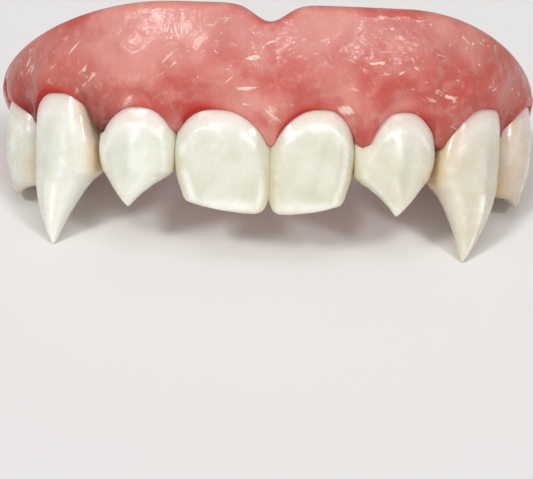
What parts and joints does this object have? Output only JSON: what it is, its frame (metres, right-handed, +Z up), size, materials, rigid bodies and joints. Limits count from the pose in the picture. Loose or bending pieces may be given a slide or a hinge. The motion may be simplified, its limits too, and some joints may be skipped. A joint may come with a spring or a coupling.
{
  "type": "vampire fang denture",
  "caption": "Upper denture in a horseshoe shape, with ivory front teeth, two long pointed fangs and a glossy pink gum base that is hollow on top to fit over the wearer's ridge.",
  "frame": {"origin": "centre of the bounding box on the table that the denture stands on", "axes": "+X to the viewer's right along the arch's width, +Y towards the back of the mouth, +Z up; the denture leans back about 29 degrees, on its two fang tips and the two heels of its base"},
  "size_m": [0.0524, 0.0254, 0.0229],
  "materials": {
    "gum_base": "mottled pink denture acrylic, wavy and highly polished",
    "central_incisor_left": "glossy ivory acrylic, amber at the sides and paler at the tip",
    "lateral_incisor_left": "glossy ivory acrylic, amber at the sides and paler at the tip",
    "fang_left": "glossy ivory acrylic, amber at the sides and paler at the tip",
    "premolar_left": "glossy ivory acrylic, amber at the sides and paler at the tip",
    "central_incisor_right": "glossy ivory acrylic, amber at the sides and paler at the tip",
    "lateral_incisor_right": "glossy ivory acrylic, amber at the sides and paler at the tip",
    "fang_right": "glossy ivory acrylic, amber at the sides and paler at the tip",
    "premolar_right": "glossy ivory acrylic, amber at the sides and paler at the tip"
  },
  "bodies": {
    "root": {"gum_base": "gum_base", "central_incisor_left": "central_incisor_left", "lateral_incisor_left": "lateral_incisor_left", "fang_left": "fang_left", "premolar_left": "premolar_left", "central_incisor_right": "central_incisor_right", "lateral_incisor_right": "lateral_incisor_right", "fang_right": "fang_right", "premolar_right": "premolar_right"}
  },
  "joints": []
}
